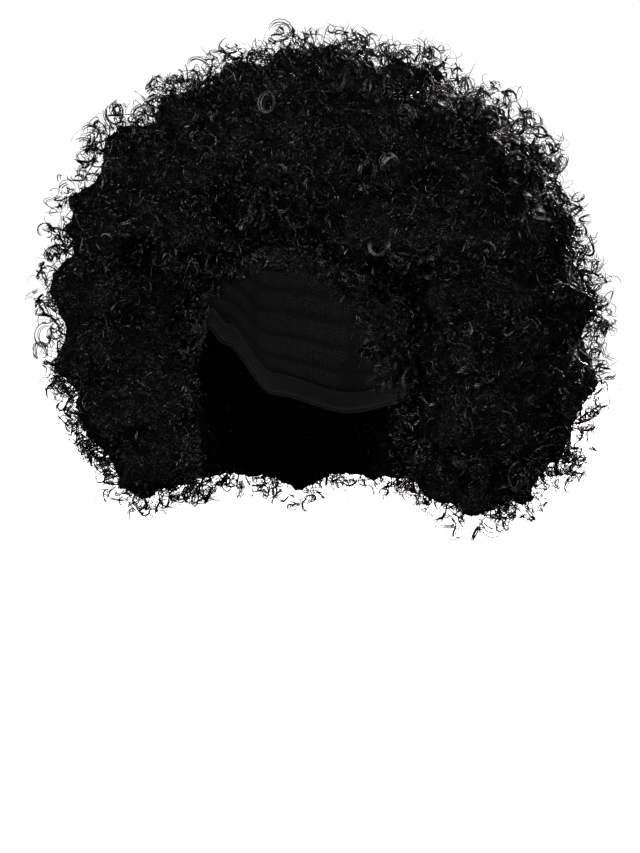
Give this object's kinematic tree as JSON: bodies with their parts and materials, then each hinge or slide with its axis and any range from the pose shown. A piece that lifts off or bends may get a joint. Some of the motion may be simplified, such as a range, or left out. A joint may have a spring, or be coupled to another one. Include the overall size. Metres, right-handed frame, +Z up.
{
  "type": "afro wig",
  "caption": "Large round curly wig: stretch cap, elastic band and rows of wefts whose locks form a near-round head of hair, open for face and neck.",
  "frame": {"origin": "inside of the cap's crown, where it bears on the top of the wearer's head", "axes": "the wearer faces -Y, the wearer's left side is +X, +Z up"},
  "size_m": [0.3672, 0.3117, 0.312],
  "materials": {
    "cap": "matt black stretch net",
    "band": "matt black woven elastic",
    "hair": "jet black curled synthetic fibre with a soft sheen"
  },
  "bodies": {
    "root": {"cap_shell": "cap", "elastic_band": "band", "crown_weft": "hair", "weft_row_1": "hair", "weft_row_2": "hair", "weft_row_3": "hair", "weft_row_4": "hair"}
  },
  "joints": []
}
